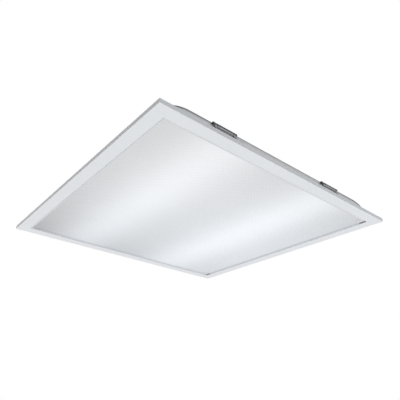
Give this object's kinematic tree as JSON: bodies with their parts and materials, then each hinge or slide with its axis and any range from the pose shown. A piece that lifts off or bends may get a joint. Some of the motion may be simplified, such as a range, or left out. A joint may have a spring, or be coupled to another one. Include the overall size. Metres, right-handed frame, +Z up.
{
  "type": "recessed troffer light",
  "caption": "Square recessed ceiling light for a lay-in grid, with a white border, a domed steel pan, a hinged prismatic lens door and hinged hold-down clips.",
  "frame": {"origin": "centre of the border's underside, the plane that lies on the ceiling grid", "axes": "+Z up into the ceiling void, Y along the two light strips, X across them, towards the door's hinge side"},
  "size_m": [0.597, 0.597, 0.0585],
  "materials": {
    "white_coat": "satin white powder coat",
    "door_coat": "satin pale grey coat",
    "galvanised_sheet": "galvanised, dull, faint spangle",
    "white_gear_coat": "white coat on steel sheet",
    "tray_metal": "mill finish",
    "board_mask": "white solder mask",
    "led_phosphor": "lit packages",
    "connector_body": "white nylon",
    "nylon": "natural nylon",
    "zinc_steel": "zinc plated",
    "spring_steel": "dark tempered spring steel",
    "driver_shell": "pale grey coat",
    "terminal_grey": "grey moulded",
    "insulation_brown": "smooth insulation",
    "insulation_blue": "smooth insulation",
    "insulation_green_yellow": "striped insulation",
    "insulation_red": "smooth insulation",
    "insulation_black": "smooth insulation",
    "rubber_black": "matt",
    "gland_plastic": "grey moulded",
    "nickel": "nickel plated",
    "brass": "plain",
    "bush_plastic": "white acetal",
    "prismatic_acrylic": "clear prismatic acrylic with a faint diffusing tint"
  },
  "bodies": {
    "housing": {"trim_front": "white_coat", "trim_right": "white_coat", "trim_back": "white_coat", "trim_left": "white_coat", "trim_corner_keys": "zinc_steel", "housing_pan": "galvanised_sheet", "end_plate_front": "galvanised_sheet", "end_plate_back": "galvanised_sheet", "frame_screws": "zinc_steel", "end_plate_rivets": "tray_metal", "led_tray_left": "tray_metal", "led_tray_right": "tray_metal", "led_board_left": "board_mask", "led_board_right": "board_mask", "led_packages_left": "led_phosphor", "led_packages_right": "led_phosphor", "tray_rivets": "tray_metal", "board_rivets": "nylon", "board_connectors": "connector_body", "gear_cover": "white_gear_coat", "gear_cover_screws": "zinc_steel", "driver_case": "driver_shell", "driver_terminals": "terminal_grey", "driver_screws": "zinc_steel", "terminal_block": "connector_body", "terminal_screws": "zinc_steel", "earth_stud": "brass", "earth_nuts": "brass", "wire_live": "insulation_brown", "wire_neutral": "insulation_blue", "wire_earth": "insulation_green_yellow", "led_leads_positive": "insulation_red", "led_leads_negative": "insulation_black", "lead_grommets": "rubber_black", "lead_clips": "nylon", "access_plate": "galvanised_sheet", "access_screws": "zinc_steel", "gland_body": "gland_plastic", "gland_seal": "rubber_black", "gland_cap_nut": "gland_plastic", "gland_locknut": "gland_plastic", "pivot_bushes": "bush_plastic", "catch_magnets": "nickel", "magnet_holders": "bush_plastic", "clip_hinge_leaves": "spring_steel", "clip_hinge_pins": "zinc_steel", "clip_leaf_rivets": "zinc_steel"},
    "lens_door": {"lens": "prismatic_acrylic", "lens_rail_front": "door_coat", "lens_rail_right": "door_coat", "lens_rail_back": "door_coat", "lens_rail_left": "door_coat", "hinge_blocks": "terminal_grey", "pivot_pins": "zinc_steel", "rail_corner_keys": "zinc_steel", "strike_plates": "zinc_steel"},
    "hold_down_clip_1": {"hold_down_clip_1": "spring_steel"},
    "hold_down_clip_2": {"hold_down_clip_2": "spring_steel"},
    "hold_down_clip_3": {"hold_down_clip_3": "spring_steel"},
    "hold_down_clip_4": {"hold_down_clip_4": "spring_steel"}
  },
  "joints": [
    {"name": "door_hinge", "type": "hinge", "parent": "housing", "child": "lens_door", "pos_m": [0.267, 0, 0.004], "axis": [0, -1, 0], "range_deg": [0, 90]},
    {"name": "clip_1_hinge", "type": "hinge", "parent": "housing", "child": "hold_down_clip_1", "pos_m": [-0.1562, -0.2776, 0.0366], "axis": [-1, 0, 0], "range_deg": [0, 100]},
    {"name": "clip_2_hinge", "type": "hinge", "parent": "housing", "child": "hold_down_clip_2", "pos_m": [0.1348, -0.2776, 0.0366], "axis": [-1, 0, 0], "range_deg": [0, 100]},
    {"name": "clip_3_hinge", "type": "hinge", "parent": "housing", "child": "hold_down_clip_3", "pos_m": [0.1562, 0.2776, 0.0366], "axis": [1, 0, 0], "range_deg": [0, 100]},
    {"name": "clip_4_hinge", "type": "hinge", "parent": "housing", "child": "hold_down_clip_4", "pos_m": [-0.1348, 0.2776, 0.0366], "axis": [1, 0, 0], "range_deg": [0, 100]}
  ]
}
